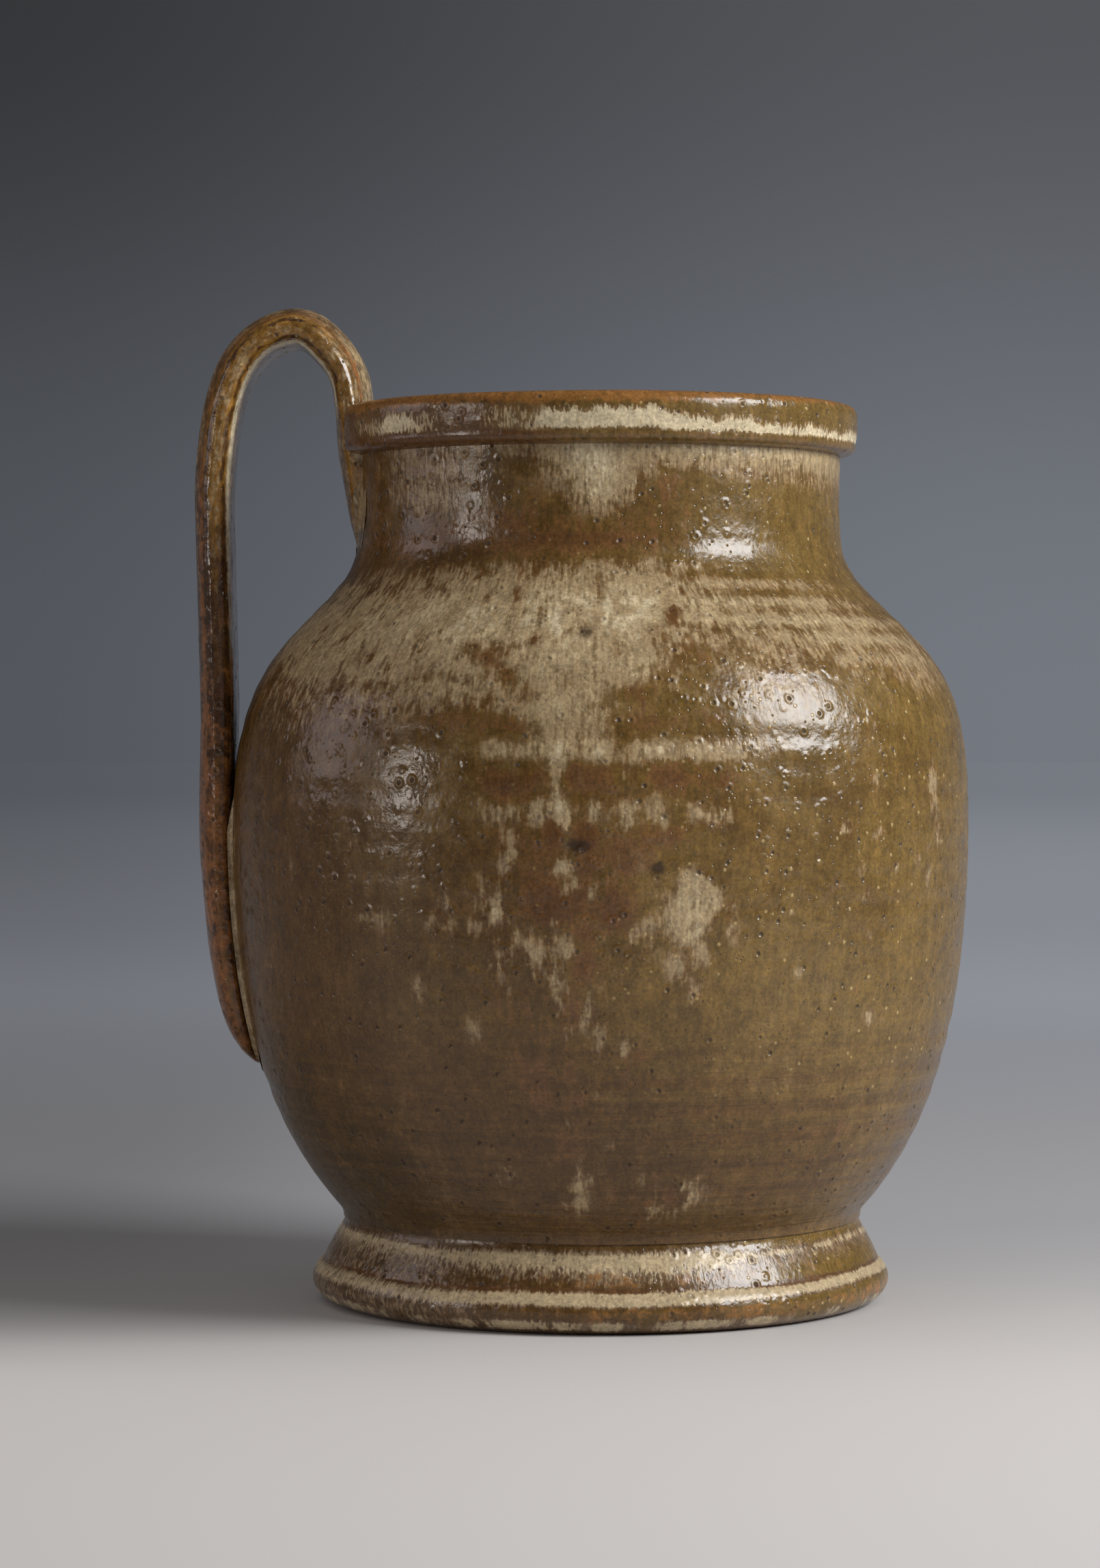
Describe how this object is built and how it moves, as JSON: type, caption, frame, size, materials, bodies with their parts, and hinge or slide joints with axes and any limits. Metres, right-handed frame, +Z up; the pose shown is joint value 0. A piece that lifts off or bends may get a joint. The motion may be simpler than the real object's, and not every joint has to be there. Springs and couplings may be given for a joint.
{
  "type": "pottery pitcher",
  "caption": "Round-bellied glazed stoneware pitcher with a moulded foot, straight neck, rolled rim and a tall pulled strap handle, for holding and pouring liquids.",
  "frame": {"origin": "middle of the flat resting face under the foot", "axes": "+Z up along the turning axis; the handle stands on the -X side in the XZ plane"},
  "size_m": [0.1834, 0.175, 0.2349],
  "materials": {
    "foot_glaze": "glossy brown glaze with pale ash bands, bare clay under the resting face",
    "belly_glaze": "glossy pitted olive-brown ash glaze breaking to straw",
    "rim_glaze": "glossy brown glaze breaking to rust on the lip",
    "handle_glaze": "glossy red-brown glaze with golden mottling",
    "joint_glaze": "pale glaze pooled in a crease"
  },
  "bodies": {
    "root": {"foot_base": "foot_glaze", "lower_belly": "belly_glaze", "upper_belly": "belly_glaze", "neck_collar": "belly_glaze", "rim_band": "rim_glaze", "handle_strap": "handle_glaze", "upper_joint_coil": "joint_glaze", "lower_joint_coil": "joint_glaze"}
  },
  "joints": []
}
